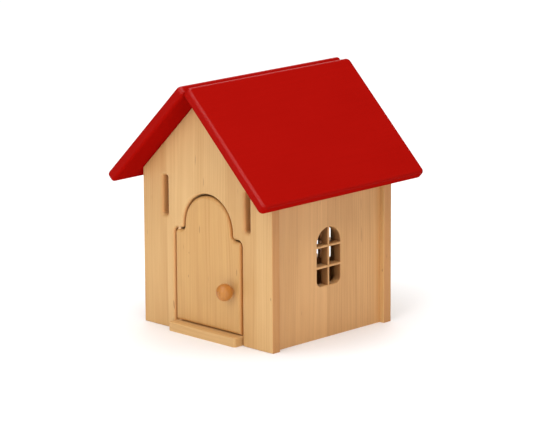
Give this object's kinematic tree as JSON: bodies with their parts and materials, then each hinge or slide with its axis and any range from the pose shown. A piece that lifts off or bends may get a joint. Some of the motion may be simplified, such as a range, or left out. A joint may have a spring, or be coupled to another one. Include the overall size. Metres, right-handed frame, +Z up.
{
  "type": "wooden toy house",
  "caption": "Small wooden toy house with an arched door on pivot pins, six-pane windows and a red gable roof that lifts off in two halves.",
  "frame": {"origin": "on the ground, under the centre of the roof", "axes": "+Z up, +X to the right seen from the front, the front wall and its door face -Y"},
  "size_m": [0.2442, 0.252, 0.282],
  "materials": {
    "natural_pine": "sanded and oiled, fine upright grain",
    "door_pine": "sanded and oiled, a warmer board than the walls",
    "knob_wood": "turned and oiled",
    "beech": "plain turned dowel",
    "red_paint": "wood under semi-gloss red paint",
    "zinc": "zinc-plated"
  },
  "bodies": {
    "house": {"back_left_dowel_high": "beech", "back_left_dowel_low": "beech", "back_left_dowel_middle": "beech", "back_right_dowel_high": "beech", "back_right_dowel_low": "beech", "back_right_dowel_middle": "beech", "back_wall": "natural_pine", "floor_board": "natural_pine", "floor_peg_left_back": "beech", "floor_peg_left_front": "beech", "floor_peg_right_back": "beech", "floor_peg_right_front": "beech", "front_left_dowel_high": "beech", "front_left_dowel_low": "beech", "front_left_dowel_middle": "beech", "front_right_dowel_high": "beech", "front_right_dowel_low": "beech", "front_right_dowel_middle": "beech", "front_wall": "natural_pine", "left_wall": "natural_pine", "right_wall": "natural_pine", "threshold": "natural_pine", "threshold_peg_left": "beech", "threshold_peg_right": "beech"},
    "door": {"door_leaf": "door_pine", "door_knob": "knob_wood", "upper_pivot_pin": "beech", "lower_pivot_pin": "beech"},
    "roof_left": {"roof_left_batten_back": "natural_pine", "roof_left_batten_front": "natural_pine", "roof_left_board": "red_paint", "roof_left_screws_back": "zinc", "roof_left_screws_front": "zinc"},
    "roof_right": {"roof_right_batten_back": "natural_pine", "roof_right_batten_front": "natural_pine", "roof_right_board": "red_paint", "roof_right_screws_back": "zinc", "roof_right_screws_front": "zinc"}
  },
  "joints": [
    {"name": "door_hinge", "type": "hinge", "parent": "house", "child": "door", "pos_m": [-0.04555, -0.088, 0.06], "axis": [0, 0, -1], "range_deg": [-20, 110]},
    {"name": "roof_left_lift", "type": "slide", "parent": "house", "child": "roof_left", "axis": [0, 0, 1], "range_m": [0, 0.14]},
    {"name": "roof_right_lift", "type": "slide", "parent": "house", "child": "roof_right", "axis": [0, 0, 1], "range_m": [0, 0.14]}
  ]
}
